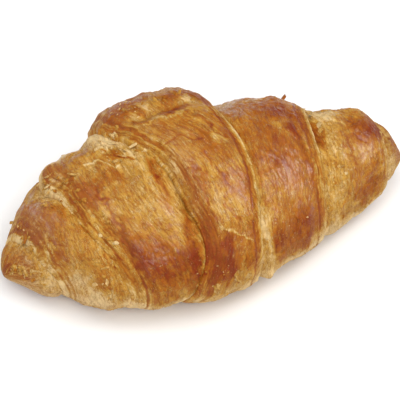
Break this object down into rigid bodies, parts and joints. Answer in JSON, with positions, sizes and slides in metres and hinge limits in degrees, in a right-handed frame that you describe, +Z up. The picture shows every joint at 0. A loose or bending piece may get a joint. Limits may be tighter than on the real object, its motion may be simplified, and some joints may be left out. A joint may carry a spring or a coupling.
{
  "type": "croissant",
  "caption": "Straight baked butter croissant, rolled from layered dough, with stepped turns, cut flaky edges and a flat underside to rest on.",
  "frame": {"origin": "middle of the flat underside, at the level of the surface that the croissant rests on", "axes": "+X along the roll towards the slimmer horn, +Y to the back, +Z up"},
  "size_m": [0.1526, 0.0846, 0.0484],
  "materials": {
    "crust": "golden brown baked crust with an egg wash gloss, darker on the edges and paler where the dough stretched"
  },
  "bodies": {
    "root": {"croissant": "crust"}
  },
  "joints": []
}
